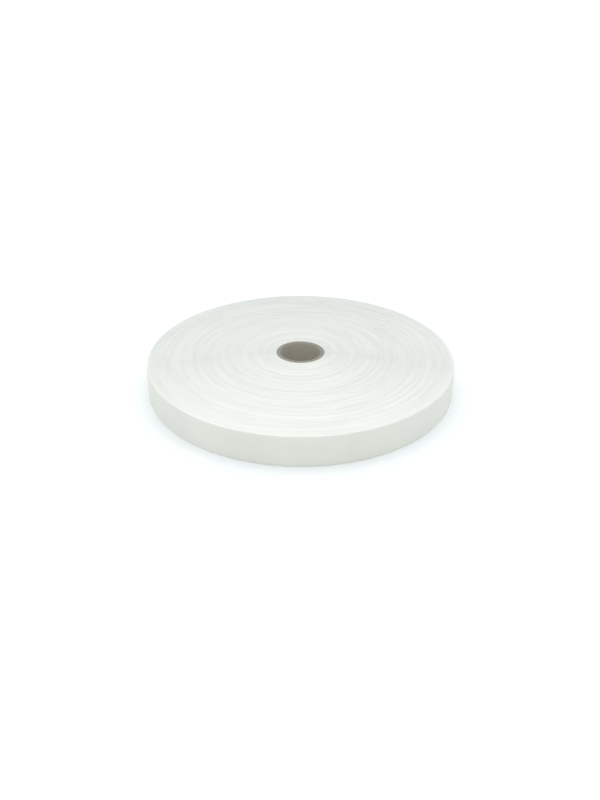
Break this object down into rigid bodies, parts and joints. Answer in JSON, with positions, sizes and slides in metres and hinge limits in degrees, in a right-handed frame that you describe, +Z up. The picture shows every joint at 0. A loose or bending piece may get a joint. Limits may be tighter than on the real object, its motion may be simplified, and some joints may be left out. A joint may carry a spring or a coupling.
{
  "type": "roll of strap elastic",
  "caption": "Flat roll of white woven strap elastic wound on a cardboard core, with faint spiral rings on its face and an open bore.",
  "frame": {"origin": "on the core's axis at the level of the face that the roll rests on", "axes": "+Z up along the core's axis, -Y towards the viewer, +X to the viewer's right; the strap's cut end is at the back, near +Y"},
  "size_m": [0.2489, 0.2494, 0.0279],
  "materials": {
    "elastic": "matt woven",
    "cardboard": "matt"
  },
  "bodies": {
    "root": {"elastic_winding": "elastic", "core_tube": "cardboard"}
  },
  "joints": []
}
